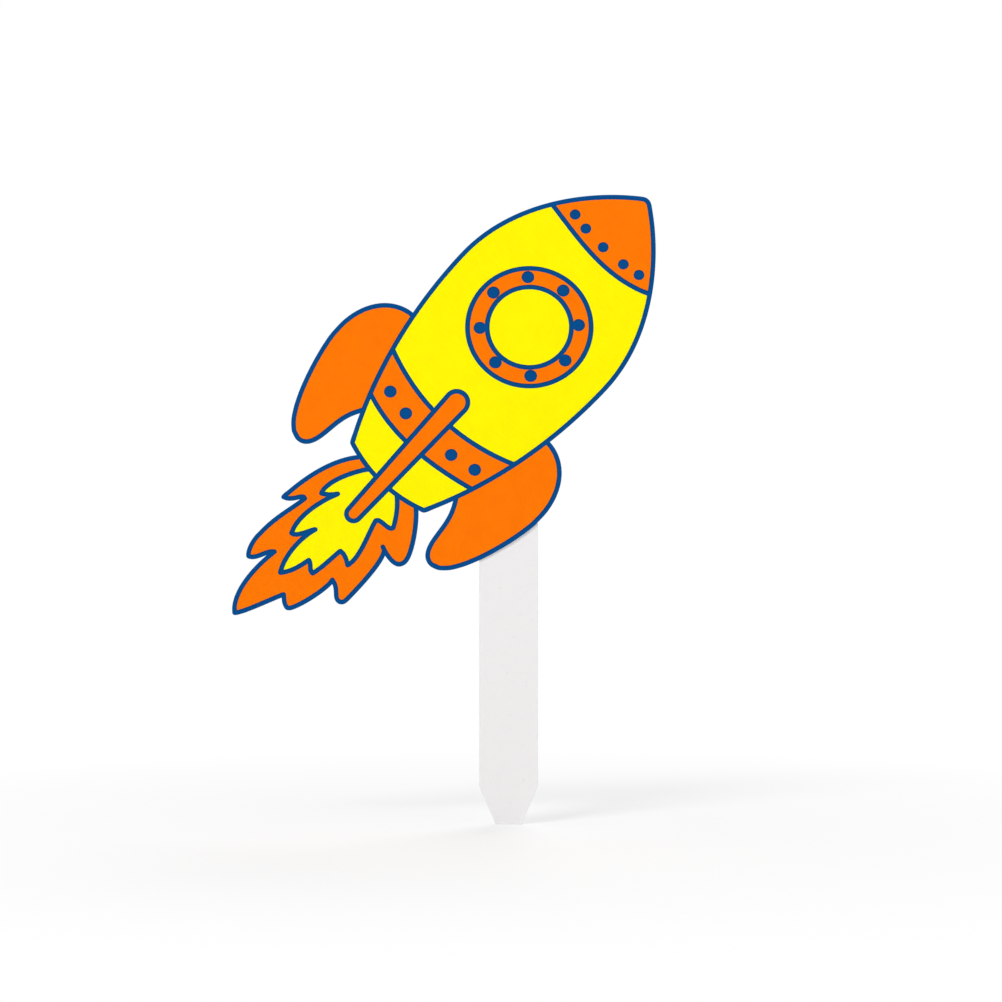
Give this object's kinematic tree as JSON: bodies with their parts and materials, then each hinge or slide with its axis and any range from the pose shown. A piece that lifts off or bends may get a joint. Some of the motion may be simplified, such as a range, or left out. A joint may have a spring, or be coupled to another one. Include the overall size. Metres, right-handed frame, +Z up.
{
  "type": "cupcake topper",
  "caption": "Flat rocket of layered coloured card on an upright strip of white card, whose pointed end is pushed into a cupcake.",
  "frame": {"origin": "on the front face of the strip, on its centre line, at the depth to which the strip is pushed in", "axes": "+Z up along the strip, +X to the right seen from the front, the rocket's front facing -Y"},
  "size_m": [0.0999, 0.0016, 0.1486],
  "materials": {
    "yellow_card": "matte craft card, coloured through",
    "orange_card": "matte craft card, coloured through",
    "blue_card": "matte heavy card, coloured through",
    "white_card": "matte stiff board, off-white",
    "clear_tape": "thin double-sided tape"
  },
  "bodies": {
    "root": {"support_strip": "white_card", "adhesive_tape": "clear_tape", "base_card": "blue_card", "nose_cone": "orange_card", "hull_panel": "yellow_card", "porthole_ring": "orange_card", "porthole_window": "yellow_card", "band_left": "orange_card", "band_right": "orange_card", "tail_left": "yellow_card", "tail_right": "yellow_card", "centre_fin": "orange_card", "left_fin": "orange_card", "right_fin": "orange_card", "outer_flame": "orange_card", "inner_flame": "yellow_card"}
  },
  "joints": []
}
